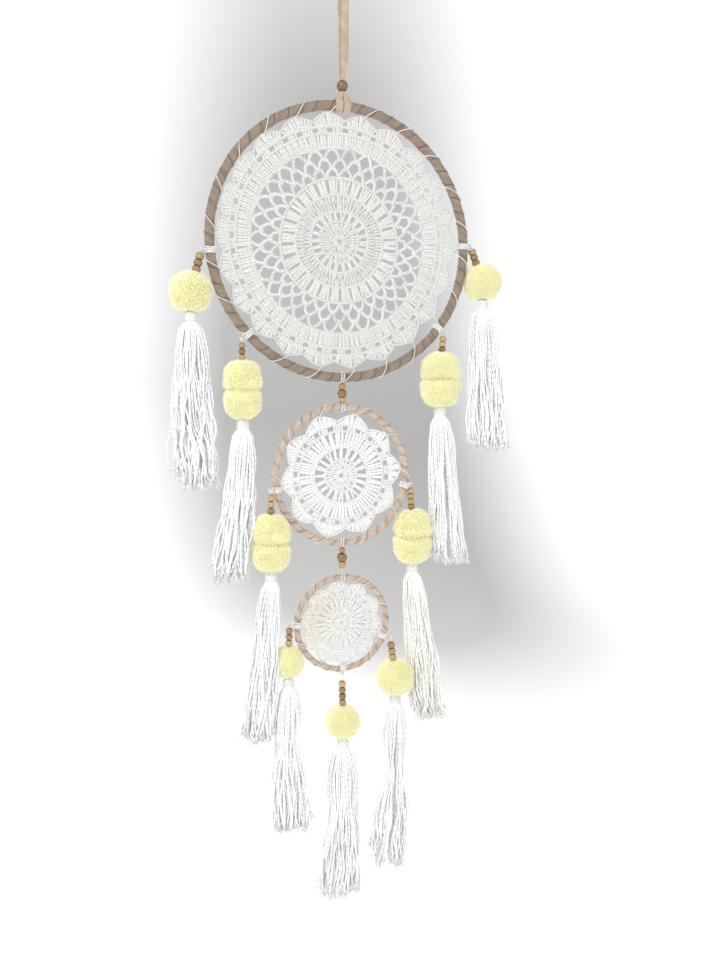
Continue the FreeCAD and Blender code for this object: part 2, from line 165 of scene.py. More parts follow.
class Shader:
    """A Principled material with short calls for the nodes that drive it."""

    def __init__(self, name, **constants):
        self.material = bpy.data.materials.new(name)
        self.material.use_nodes = True
        self.tree = self.material.node_tree
        self.out = self.tree.nodes["Principled BSDF"]
        for socket, value in constants.items():
            self.out.inputs[socket.replace("_", " ")].default_value = value

    def node(self, kind, **settings):
        made = self.tree.nodes.new("ShaderNode" + kind)
        for name, value in settings.items():
            setattr(made, name, value)
        return made

    def link(self, source, target):
        self.tree.links.new(source, target)

    def place(self, stretch=(1, 1, 1), source="Object"):
        """Stretched places: Object in metres, or UV, whose v runs along a strand in millimetres."""
        mapping = self.node("Mapping")
        mapping.inputs["Scale"].default_value = stretch
        self.link(self.node("TexCoord").outputs[source], mapping.inputs["Vector"])
        return mapping.outputs["Vector"]

    def noise(self, scale, detail=3.0, stretch=(1, 1, 1), source="Object"):
        made = self.node("TexNoise")
        made.inputs["Scale"].default_value = scale
        made.inputs["Detail"].default_value = detail
        self.link(self.place(stretch, source), made.inputs["Vector"])
        return made.outputs["Fac"]

    def uv(self):
        split = self.node("SeparateXYZ")
        self.link(self.node("TexCoord").outputs["UV"], split.inputs[0])
        return split.outputs["X"], split.outputs["Y"]

    def distance(self, point, stretch=(1, 1, 1)):
        """How far each place is from a point in metres, with both of them stretched."""
        made = self.node("VectorMath", operation="DISTANCE")
        self.link(self.place(stretch), made.inputs[0])
        made.inputs[1].default_value = [value * factor for value, factor in zip(point, stretch)]
        return made.outputs["Value"]

    def attribute(self, name):
        return self.node("Attribute", attribute_name=name).outputs["Fac"]

    def maths(self, operation, first, second=0.0):
        made = self.node("Math", operation=operation)
        for socket, value in zip(made.inputs, (first, second)):
            if isinstance(value, (int, float)):
                socket.default_value = value
            else:
                self.link(value, socket)
        return made.outputs[0]

    def weigh(self, *terms):
        """The sum of values times their weights, given as pairs."""
        total = 0.0
        for value, weight in terms:
            total = self.maths("ADD", total, self.maths("MULTIPLY", value, weight))
        return total

    def fit(self, value, low, high, start=0.0, end=1.0):
        made = self.node("MapRange")
        for socket, number in (("From Min", start), ("From Max", end), ("To Min", low), ("To Max", high)):
            made.inputs[socket].default_value = number
        self.link(value, made.inputs["Value"])
        return made.outputs["Result"]

    def ramp(self, value, stops):
        made = self.node("ValToRGB")
        ramp = made.color_ramp
        while len(ramp.elements) < len(stops):
            ramp.elements.new(0.5)
        for element, (place, colour) in zip(ramp.elements, stops):
            element.position = place
            element.color = (*colour, 1)
        self.link(value, made.inputs["Fac"])
        return made.outputs["Color"]

    def stain(self, share, colour, tint):
        """The colour multiplied by a tint, as far as share says: a real stain on the small doily's cotton,
        and painted shade at the beads' bored ends and along the ribbons' lapped edge.
        """
        made = self.node("Mix", data_type="RGBA", blend_type="MULTIPLY")
        first, second = [socket for socket in made.inputs if socket.type == "RGBA"]
        self.link(share, made.inputs["Factor"])
        self.link(colour, first)
        second.default_value = (*tint, 1)
        return [socket for socket in made.outputs if socket.type == "RGBA"][0]

    def bump(self, height, depth, strength=1.0):
        made = self.node("Bump")
        made.inputs["Distance"].default_value = depth
        made.inputs["Strength"].default_value = strength
        self.link(height, made.inputs["Height"])
        self.link(made.outputs["Normal"], self.out.inputs["Normal"])

    def finish(self, colour, roughness):
        self.link(colour, self.out.inputs["Base Color"])
        self.link(roughness, self.out.inputs["Roughness"])
        return self.material


def floor_material():
    """Pale and matte, with a painted shadow: soft grey behind the hoops, as if in their shade, and nearly
    white away from them, where it also glows with painted light.
    """
    shader = Shader("pale_floor", Emission_Strength=BACKDROP_GLOW)
    away = shader.fit(shader.distance(SHADE_CENTRE, SHADE_STRETCH), 0.0, 1.0, *SHADE_REACH)
    shader.link(shader.ramp(away, SHADE_GLOW), shader.out.inputs["Emission Color"])
    return shader.finish(shader.ramp(away, SHADE_COLOURS), shader.fit(shader.noise(6.0), 0.85, 0.95))


# radians by which the tone, from 0 to 1, turns a strand's plies, so that neighbours don't line up
PLY_SCATTER = 97.0


def ply_height(shader, pitch):
    """Height of two plies twisted together: UV u runs round the strand and v along it in millimetres."""
    u, v = shader.uv()
    return shader.maths("SINE", shader.weigh(
        (u, 2 * TURN), (v, TURN / pitch), (shader.attribute("tone"), PLY_SCATTER)))


def cotton(name, dark, light, pitch=2.4, tint=None, glow=0.0):
    """Twisted cotton: each strand has its own tone, with plies and loose fibres in the bump.

    pitch is in millimetres; tint is a stain's colour, its middle and its reach in metres.
    """
    shader = Shader(name, Sheen_Weight=0.25, Sheen_Roughness=0.5, Specular_IOR_Level=0.25,
                    Emission_Color=(*light, 1), Emission_Strength=glow)
    grain = shader.noise(1500.0, 4.0)
    share = shader.weigh((shader.attribute("tone"), 0.7), (grain, 0.3))
    colour = shader.ramp(share, ((0.0, dark), (0.55, light), (1.0, tuple(min(1, c * 1.04) for c in light))))
    if tint is not None:
        tint_colour, tint_place, tint_reach = tint
        near = shader.fit(shader.distance(tint_place), 0.85, 0.0, tint_reach * 0.3, tint_reach)
        colour = shader.stain(near, colour, tint_colour)
    shader.bump(shader.weigh((ply_height(shader, pitch), 1.0), (grain, 0.8)), 0.25 * MM, 0.9)
    return shader.finish(colour, shader.fit(grain, 0.72, 0.95))


# Emission strengths that stand for light scattered between the fibres: wool's from between the tufts
# to their tips, and the tassels' yarn.
WOOL_GLOW = (0.03, 0.13)
YARN_GLOW = 0.05
# pitch of the tassels' yarn in millimetres
YARN_PITCH = 5.5


def pompom_yarn():
    """Pale lemon wool with painted shade: deeper and greener between the tufts, lighter at their cut tips."""
    shader = Shader("lemon_wool", Sheen_Weight=0.3, Sheen_Roughness=0.4, Specular_IOR_Level=0.1,
                    Sheen_Tint=(1.0, 0.98, 0.7, 1), Emission_Color=(1.0, 0.97, 0.60, 1))
    fibre = shader.noise(1100.0, 4.0)
    # painted shade: the colour grows deeper and greener towards the tufts' roots, deep inside the ball
    depth = shader.weigh((shader.attribute("along"), 0.8), (shader.attribute("tone"), 0.25))
    colour = shader.ramp(depth, (
        (0.15, (0.86, 0.81, 0.36)),
        (0.6, (0.95, 0.92, 0.57)),
        (1.0, (0.98, 0.97, 0.72)),
    ))
    shader.link(shader.fit(depth, *WOOL_GLOW, 0.3, 1.0), shader.out.inputs["Emission Strength"])
    shader.bump(fibre, 0.2 * MM, 0.7)
    return shader.finish(colour, shader.fit(fibre, 0.8, 0.98))


def bead_wood():
    """Turned wood with fine grain and painted shade, dark at the bored ends and in the bore; each bead has
    its own tone.
    """
    shader = Shader("bead_wood", Coat_Weight=0.12, Coat_Roughness=0.3)
    grain = shader.noise(420.0, 5.0, (1.0, 1.0, 5.0))
    fine = shader.noise(2600.0, 3.0, (1.0, 1.0, 0.25))
    colour = shader.ramp(shader.weigh((grain, 0.45), (shader.attribute("tone"), 0.55)), (
        (0.15, (0.060, 0.032, 0.013)),
        (0.45, (0.280, 0.175, 0.075)),
        (0.65, (0.460, 0.315, 0.145)),
        (0.95, (0.640, 0.500, 0.285)),
    ))
    # painted shade: darker towards the bored ends and inside the bore
    ends = shader.fit(shader.attribute("along"), 0.0, 0.85, 0.72, 1.0)
    shader.bump(shader.maths("ADD", grain, fine), 0.08 * MM, 0.6)
    return shader.finish(shader.stain(ends, colour, (0.25, 0.16, 0.09)), shader.fit(fine, 0.32, 0.55))


def plain_wood():
    """The bare bent wood under the ribbon."""
    shader = Shader("bent_wood")
    grain = shader.noise(300.0, 5.0, (1.0, 6.0, 1.0))
    colour = shader.ramp(grain, ((0.3, (0.30, 0.19, 0.10)), (0.7, (0.46, 0.33, 0.20))))
    shader.bump(grain, 0.1 * MM, 0.5)
    return shader.finish(colour, shader.fit(grain, 0.5, 0.75))


WEAVE_PITCH = 0.55


def ribbon(name, dark, light):
    """Matte woven ribbon: a fine cross weave, soft stains, painted shade in its creases, and a darker line of
    painted shade along its lapped edge.
    """
    shader = Shader(name, Sheen_Weight=0.2, Sheen_Roughness=0.4, Specular_IOR_Level=0.2)
    turns = [shader.maths("MULTIPLY", place, TURN / WEAVE_PITCH) for place in shader.uv()]
    weave = shader.maths("MULTIPLY", *(shader.maths("SINE", turn) for turn in turns))
    stain = shader.noise(160.0, 5.0)
    streak = shader.noise(900.0, 3.0)
    # the creases' relief is painted into the colour too: painted shade in their troughs, painted light on
    # their ridges
    crease = shader.noise(0.55, 2.0, (1.0, 0.12, 1.0), "UV")
    share = shader.weigh((crease, 0.6), (streak, 0.25), (stain, 0.15))
    colour = shader.ramp(share, ((0.3, dark), (0.7, light)))
    # painted shade: a darker line along the lapped edge, where the turns step over each other
    edge = shader.fit(shader.attribute("along"), 0.6, 0.0, 0.0, 0.14)
    shader.bump(shader.weigh((weave, 0.25), (crease, 3.0)), 0.35 * MM, 0.9)
    return shader.finish(shader.stain(edge, colour, (0.45, 0.38, 0.33)), shader.fit(streak, 0.75, 0.95))


def suede():
    """Soft suede with a short nap."""
    shader = Shader("suede_lace", Sheen_Weight=0.45, Sheen_Roughness=0.35, Specular_IOR_Level=0.15)
    nap = shader.noise(1800.0, 5.0)
    share = shader.weigh((nap, 0.45), (shader.noise(120.0, 3.0), 0.55))
    colour = shader.ramp(share, ((0.3, (0.35, 0.27, 0.20)), (0.7, (0.57, 0.455, 0.345))))
    shader.bump(nap, 0.15 * MM, 0.8)
    return shader.finish(colour, shader.fit(nap, 0.8, 0.98))


def materials():
    return {
        "suede": suede(),
        "wood": bead_wood(),
        "core": plain_wood(),
        "large_ribbon": ribbon("large_ribbon", (0.222, 0.168, 0.126), (0.375, 0.298, 0.230)),
        "pale_ribbon": ribbon("pale_ribbon", (0.44, 0.335, 0.265), (0.70, 0.565, 0.470)),
        # painted shade: the large doily's cotton is a darker copy of the middle doily's crochet cotton
        "large_crochet": cotton("crochet_cotton_shaded", (0.42, 0.42, 0.40), (0.76, 0.76, 0.73)),
        "crochet": cotton("crochet_cotton", (0.52, 0.52, 0.50), (0.86, 0.86, 0.84)),
        "small_crochet": cotton("crochet_cotton_stained", (0.50, 0.50, 0.48), (0.84, 0.84, 0.82),
                                tint=((1.0, 0.93, 0.80), (-0.045, 0.0, -0.600), 0.055)),
        "thread": cotton("white_thread", (0.78, 0.78, 0.76), (0.93, 0.93, 0.91)),
        "yarn": cotton("tassel_yarn", (0.82, 0.83, 0.85), (0.93, 0.93, 0.93), YARN_PITCH, glow=YARN_GLOW),
        "cream_yarn": cotton("tassel_yarn_cream", (0.80, 0.77, 0.70), (0.93, 0.92, 0.88), YARN_PITCH,
                             glow=YARN_GLOW),
        "pompom": pompom_yarn(),
    }


# ---------------- mesh making


def draws(name):
    """A random source of its own for each piece, the same in every run."""
    return np.random.default_rng(zlib.crc32(name.encode()))


def unit(vectors):
    return vectors / np.maximum(np.linalg.norm(vectors, axis=-1, keepdims=True), 1e-12)


def between(value, start, end):
    """How far a value is on the way from start to end, held within 0 and 1."""
    return np.clip((value - start) / (end - start), 0, 1)


def ease(share):
    """A share from 0 to 1 that starts and ends gently."""
    return share * share * (3 - 2 * share)


def blend(share, first, last):
    return first * (1 - share) + last * share


def frames(paths, side=UP):
    """Normal and binormal along each path, carried from its start without turning."""
    tangents = unit(np.gradient(paths, axis=1))
    start = np.broadcast_to(np.asarray(side, float), tangents[:, 0].shape).copy()
    flat = np.abs((unit(start) * tangents[:, 0]).sum(-1)) > 0.95
    start[flat] = (0.35, 0.93, 0.1)
    normals = np.empty_like(paths)
    normal = start
    for k in range(paths.shape[1]):
        tangent = tangents[:, k]
        normal = unit(normal - (normal * tangent).sum(-1, keepdims=True) * tangent)
        normals[:, k] = normal
    return normals, np.cross(tangents, normals)


def lengths(paths):
    steps = np.linalg.norm(np.diff(paths, axis=1), axis=-1)
    return np.concatenate([np.zeros((len(paths), 1)), np.cumsum(steps, axis=1)], axis=1)


def twist(path, pitch, spread, side=UP):
    """Centre lines of the two plies that turn round a path."""
    normals, binormals = frames(path[None], side)
    turned = lengths(path[None])[..., None] * TURN / pitch
    ply = spread * (np.cos(turned) * normals + np.sin(turned) * binormals)
    return np.concatenate([path + ply, path - ply])


def even(points, step, closed=False):
    """The polyline's points again, evenly spaced."""
    points = np.asarray(points, float)
    if closed:
        points = np.concatenate([points, points[:1]])
    gone = lengths(points[None])[0]
    count = max(4, int(round(gone[-1] / step)) + 1)
    places = np.linspace(0, gone[-1], count)
    return np.stack([np.interp(places, gone, points[:, k]) for k in range(3)], axis=1)


class Piece:
    """Collects surfaces in millimetres and makes one Blender mesh of them."""

    def __init__(self):
        self.points, self.corners, self.sizes, self.uvs, self.tones, self.along = [], [], [], [], [], []
        self.count = 0

    def faces(self, faces, uvs):
        """Faces (f, k) given as numbers of points, with uvs (f, k, 2)."""
        self.corners.append(faces.ravel())
        self.sizes.append(np.full(len(faces), faces.shape[1]))
        self.uvs.append(uvs.reshape(-1, 2))

    def add(self, points, faces, uvs, tone, along):
        """Points (n, 3) with faces that count from the first of them, and a tone and an along for each."""
        self.points.append(points)
        self.tones.append(np.broadcast_to(tone, len(points)))
        self.along.append(np.broadcast_to(along, len(points)))
        self.faces(faces + self.count, uvs)
        self.count += len(points)

    def bands(self, points, v, u_step, tone=0.5, along=0.0, looped=False):
        """Surfaces through points (m, n, k, 3): m bands of n rows, each row a closed ring of k points.

        v (m, n) is the UV's v of each row. The first and last rows are closed by a face each, or with
        looped they join, and v then has one more row. tone and along are arrays that fit (m, n, k).
        """
        index = np.arange(points[..., 0].size).reshape(points.shape[:3])
        row = np.concatenate([index, index[:, :1]], axis=1) if looped else index
        after = np.roll(row, -1, axis=2)
        quads = np.stack([row[:, :-1], after[:, :-1], after[:, 1:], row[:, 1:]], axis=-1)
        left = np.broadcast_to(np.arange(index.shape[2]) * u_step, quads.shape[:3])
        low = np.broadcast_to(v[:, :-1, None], left.shape)
        high = np.broadcast_to(v[:, 1:, None], left.shape)
        right = left + u_step
        uvs = np.stack([left, low, right, low, right, high, left, high], axis=-1)
        start = self.count
        self.add(points.reshape(-1, 3), quads.reshape(-1, 4), uvs,
                 np.broadcast_to(tone, index.shape).ravel(), np.broadcast_to(along, index.shape).ravel())
        if not looped:
            caps = np.concatenate([index[:, 0, ::-1], index[:, -1]])
            self.faces(caps + start, np.zeros((*caps.shape, 2)))

    def tubes(self, paths, radius, sides=5, tone=0.5, side=UP, lobes=0.0, lobe_pitch=8.0, flat=1.0):
        """Closed tubes along paths (m, n, 3). radius fits (m, n), and tone is one value or m of them.

        flat presses the section along the side direction, and lobes give it two turning plies.
        """
        normals, binormals = frames(paths, side)
        gone = lengths(paths)
        around = np.arange(sides) * TURN / sides
        swell = 1 + lobes * np.cos(2 * around - gone[..., None] * TURN / lobe_pitch)
        reach = (np.broadcast_to(radius, gone.shape)[..., None] * swell)[..., None]
        ring = (flat * np.cos(around)[:, None] * normals[:, :, None]
                + np.sin(around)[:, None] * binormals[:, :, None])
        share = gone / np.maximum(gone[:, -1:], 1e-9)
        self.bands(paths[:, :, None] + ring * reach, gone, 1 / sides, np.reshape(tone, (-1, 1, 1)),
                   share[..., None])

    def thread(self, path, pitch, spread, radius, sides=5, tone=0.9, side=UP):
        """Two plies twisted along one path (n, 3)."""
        self.tubes(twist(path, pitch, spread, side), radius, sides, tone, side)

    def make(self, name, material, body, nodes=(), slot=None):
        """The finished piece: it rides on a body and stands for CAD nodes."""
        mesh = bpy.data.meshes.new(name)
        points = (np.concatenate(self.points) * MM).astype(np.float32)
        corners = np.concatenate(self.corners).astype(np.int32)
        sizes = np.concatenate(self.sizes).astype(np.int32)
        mesh.vertices.add(len(points))
        mesh.vertices.foreach_set("co", points.ravel())
        mesh.loops.add(len(corners))
        mesh.loops.foreach_set("vertex_index", corners)
        mesh.polygons.add(len(sizes))
        mesh.polygons.foreach_set("loop_start", (np.cumsum(sizes) - sizes).astype(np.int32))
        mesh.polygons.foreach_set("use_smooth", np.ones(len(sizes), bool))
        layer = mesh.uv_layers.new(name="strand")
        layer.data.foreach_set("uv", np.concatenate(self.uvs).astype(np.float32).ravel())
        for label, values in (("tone", self.tones), ("along", self.along)):
            attribute = mesh.attributes.new(label, "FLOAT", "POINT")
            attribute.data.foreach_set("value", np.concatenate(values).astype(np.float32))
        mesh.update(calc_edges=True)
        mesh.validate()
        mesh.materials.append(material)
        piece = placed(name, mesh)
        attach(piece, body)
        if nodes:
            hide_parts(*nodes)
        return piece


# ---------------- facts from the frame


def vector(point):
    return np.array(point, float) / MM


def solids(node):
    """Points of each separate solid of a CAD node, in millimetres, from the highest down."""
    soup = bmesh.new()
    soup.from_mesh(frame["nodes"][node].data)
    bmesh.ops.remove_doubles(soup, verts=soup.verts, dist=1e-6)
    left = set(soup.verts)
    found = []
    while left:
        group = []
        waiting = [left.pop()]
        while waiting:
            vertex = waiting.pop()
            group.append(vertex.co[:])
            for edge in vertex.link_edges:
                other = edge.other_vert(vertex)
                if other in left:
                    left.remove(other)
                    waiting.append(other)
        found.append(np.array(group) / MM)
    soup.free()
    return sorted(found, key=lambda group: -group[:, 2].max())


def middle_of(points):
    return (points.min(axis=0) + points.max(axis=0)) / 2


def hoop_facts(hoop):
    low, high = (vector(corner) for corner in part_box(f"{hoop}_hoop_wrap"))
    tube = (high[1] - low[1]) / 2
    return {"centre": (low + high) / 2, "radius": (high[0] - low[0]) / 2, "tube": tube}


KNOTS = {joint["child"]: vector(joint["pos_m"]) for joint in frame["joints"]}
HOOPS = {hoop: hoop_facts(hoop) for hoop in ("large", "middle", "small")}
STRINGS = {
    "outer_left": "large", "lower_left": "large", "middle_left": "middle", "small_left": "small",
    "bottom": "small", "small_right": "small", "middle_right": "middle", "lower_right": "large",
    "outer_right": "large",
}
LINKS = {"upper_link": ("large", "middle"), "lower_link": ("middle", "small")}

# ---------------- the lace: a flat cord over the nail

# Route of the middle of the lace, in metres: up the left strand, over the nail and down the right one.
LACE_ROUTE = (
    (-0.0001, 0.0009, -0.1293), (-0.0001, 0.0009, -0.1235), (-0.0002, 0.0009, -0.1175),
    (-0.0005, 0.0009, -0.1080), (-0.0006, 0.0009, -0.0950), (-0.0005, 0.0010, -0.0780),
    (-0.0006, 0.0009, -0.0600), (-0.0011, 0.0007, -0.0420), (-0.0025, 0.0004, -0.0270),
    (-0.0036, 0.0001, -0.0150), (-0.0039, 0.0000, -0.0060), (-0.0039, 0.0000, 0.0038),
    (0.0039, 0.0000, 0.0038), (0.0039, 0.0000, -0.0060), (0.0037, -0.0001, -0.0150),
    (0.0030, -0.0004, -0.0270), (0.0023, -0.0007, -0.0420), (0.0021, -0.0009, -0.0600),
    (0.0022, -0.0010, -0.0780), (0.0021, -0.0009, -0.0950), (0.0015, -0.0009, -0.1080),
    (0.0003, -0.0009, -0.1175), (0.0001, -0.0009, -0.1235), (0.0001, -0.0009, -0.1293),
)
LACE_WIDTH, LACE_THICKNESS, LACE_FOLDED = 7.0, 1.3, 3.9
LACE_TWIST = 50.0
BEAD_TOP, LACE_FULL = -117.0, -99.0


def spline_points(route):
    """Points along the smooth NURBS line that has the route's points as its control points."""
    curve = bpy.data.curves.new("route", "CURVE")
    curve.dimensions = "3D"
    curve.resolution_u = 8
    spline = curve.splines.new("NURBS")
    spline.points.add(len(route) - 1)
    for point, place in zip(spline.points, route):
        point.co = (*place, 1)
    spline.order_u = 3
    spline.use_endpoint_u = True
    carrier = bpy.data.objects.new("route", curve)
    line = bpy.data.meshes.new_from_object(carrier)
    points = np.array([vertex.co[:] for vertex in line.vertices])
    bpy.data.objects.remove(carrier)
    bpy.data.curves.remove(curve)
    bpy.data.meshes.remove(line)
    return points


# points of a strip's rounded edge, and shares of its width between the edges
STRIP_EDGE_STEPS = 5
STRIP_SHARES = (0.25, 0.0, -0.25)


def strip(piece, path, widths, wide, thickness, tone=0.5):
    """A flat strip with rounded edges: wide is the direction of its width at each point of the path."""
    tangents = unit(np.gradient(path, axis=0))
    wide = unit(wide - (wide * tangents).sum(-1, keepdims=True) * tangents)
    thin = np.cross(tangents, wide)
    half = thickness / 2
    rows = []
    for face in (1, -1):
        for angle in np.linspace(-math.pi / 2, math.pi / 2, STRIP_EDGE_STEPS):
            across = widths / 2 - half + half * math.cos(angle)
            rows.append(path + face * (wide * across[:, None] + thin * half * math.sin(angle)))
        for share in STRIP_SHARES:
            rows.append(path + face * (wide * (share * widths)[:, None] + thin * half))
    piece.bands(np.stack(rows, axis=1)[None], lengths(path[None]), 1 / len(rows), tone)


def hanging_lace(material):
    """Edge-on over the nail, a quarter turn to face-on on both sides, then folded narrower into the bead."""
    route = spline_points(LACE_ROUTE)
    path = route / MM
    side = np.where(np.arange(len(path)) < len(path) / 2, -1, 1)
    turn = np.radians(90 * (1 - ease(between(-path[:, 2], 0, LACE_TWIST)))) * side
    widths = blend(between(path[:, 2], LACE_FULL, BEAD_TOP), LACE_WIDTH, LACE_FOLDED)
    wide = np.stack([np.cos(turn) * np.sign(turn + 1e-9), np.abs(np.sin(turn)), 0 * turn], axis=1)
    piece = Piece()
    strip(piece, path, widths, wide, LACE_THICKNESS)
    lace = piece.make("suede_lace", material, "hanger", ["hanging_lace"], "lace")


# The hitch: its gap to the ribbon, and its arc round the tube in degrees: 0 is in front, 90 below.
HITCH_GAP = 0.25
HITCH_ARC = (-52, 232)
# each strand's width and its distance from the middle, on the tube and at the bead
HITCH_WIDTHS = (6.85, 2.35)
HITCH_ASIDE = (3.65, 1.1)
# how far forward and how far below the bead the strands start, and the next place on their way
HITCH_START = ((0.9, 0.4), (1.6, 2.0))


def lace_hitch(material):
    """The lark's head: the lace's two strands come down in front of the hoop, round it and up behind."""
    hoop = HOOPS["large"]
    top = hoop["centre"] + np.array([0, 0, hoop["radius"] - hoop["tube"]])
    bead_bottom = vector(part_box("top_bead")[0])[2]
    reach = hoop["tube"] + LACE_THICKNESS / 2 + HITCH_GAP
    angles = np.radians(np.linspace(*HITCH_ARC, 40))
    loop = np.stack([0 * angles, -reach * np.cos(angles), -reach * np.sin(angles)], axis=1)
    front = np.array([(0, -forward, bead_bottom - below - top[2]) for forward, below in HITCH_START])
    back = front[::-1] * (1, -1, 1)
    local = even(np.concatenate([front, loop, back]), 0.7)
    near = ease(between(local[:, 2], reach * 0.75, front[0, 2]))
    across = np.tile((1.0, 0, 0), (len(local), 1))
    piece = Piece()
    for side in (-1, 1):
        path = local + top + side * blend(near, *HITCH_ASIDE)[:, None] * across
        strip(piece, path, blend(near, *HITCH_WIDTHS), across, LACE_THICKNESS, 0.5 + side * 0.1)
    piece.make("lace_knot", material, "large_hoop", ["lace_hitch"], "lace")


# ---------------- hoops

RIBBON_PITCH = {"large": 13.8, "middle": 11.5, "small": 10.5}
RIBBON_LAP, RIBBON_LIFT, RIBBON_THICKNESS = 0.16, 0.38, 0.28
RIBBON_STEPS = 22
# shares of the ribbon's width, close together at its lapped edge; its UV takes them as this far apart
RIBBON_ACROSS = np.array([0.0, 0.03, 0.09, 0.2, 0.42, 0.65, 0.88, 1.0, 1.0 + RIBBON_LAP])
RIBBON_UV_STEP = 1.6
WINDING_STEPS = 20


def on_tube(hoop, angle, around, reach):
    """Points on a hoop: angle goes round the hoop, around goes round its tube, from inside over the back."""
    facts = HOOPS[hoop]
    ring = facts["radius"] - facts["tube"] - reach * np.cos(around)
    return facts["centre"] + np.stack(
        [ring * np.cos(angle), reach * np.sin(around) + 0 * ring, ring * np.sin(angle)], axis=-1)


def hoop_core(hoop, material):
    """The core is the CAD model's own ring, in bare wood."""
    slots = frame["nodes"][f"{hoop}_hoop_core"].data.materials
    slots.clear()
    slots.append(material)


def hoop_ribbon(hoop, material, slot):
    """One ribbon wound round the hoop; each turn laps over the one before it."""
    facts = HOOPS[hoop]
    chance = draws(hoop + "ribbon")
    turns = int(round(TURN * (facts["radius"] - facts["tube"]) / RIBBON_PITCH[hoop]))
    around = np.arange(turns * RIBBON_STEPS + 1)[:, None] / RIBBON_STEPS
    wander = np.interp(around, np.arange(turns + 1), chance.normal(0, 0.07, turns + 1))
    lean = np.interp(around, np.arange(turns + 1), chance.normal(0, 0.05, turns + 1))
    wander[[0, -1]] = 0
    across = RIBBON_ACROSS
    angle = math.pi / 2 + (around + wander + across * (1 + lean * across)) * TURN / turns
    lift = RIBBON_LIFT * between(across, 0.22, 0.0) ** 1.5
    pucker = 0.12 * np.sin(around * 9.1 + across * 5) * np.sin(across * math.pi)
    sunk = -0.12 * between(across, 0.9, 1.0)
    top = facts["tube"] - RIBBON_LIFT + RIBBON_THICKNESS / 2 + lift + sunk + pucker
    upper = on_tube(hoop, angle, around * TURN, top)
    lower = on_tube(hoop, angle, around * TURN, top - RIBBON_THICKNESS)
    tone = np.repeat(chance.uniform(0, 1, turns + 1), RIBBON_STEPS)[:len(around), None]
    piece = Piece()
    piece.bands(np.concatenate([upper, lower[:, ::-1]], axis=1)[None], around.T * TURN * facts["tube"],
                RIBBON_UV_STEP, tone, np.concatenate([across, across[::-1]]))
    piece.make(f"{hoop}_ribbon", material, f"{hoop}_hoop", [f"{hoop}_hoop_wrap"], slot)


def helix_round_tube(hoop, angle, turns, pitch, reach, start):
    """A thread wound round the hoop's tube, centred on an angle of the hoop."""
    facts = HOOPS[hoop]
    around = np.linspace(0, turns, int(turns * WINDING_STEPS) + 1)
    shift = (around - turns / 2) * pitch / (facts["radius"] - facts["tube"])
    return on_tube(hoop, angle + shift, start + around * TURN, reach)


# ---------------- crochet

STITCH_STEP = 0.95
# A tall stitch: its radius, how deep its two turning plies are cut and their pitch, and how flat it lies.
POST_RADIUS, POST_LOBES, POST_PITCH, POST_FLAT = 0.88, 0.24, 4.2, 0.8
CHAIN_PITCH = 4.4


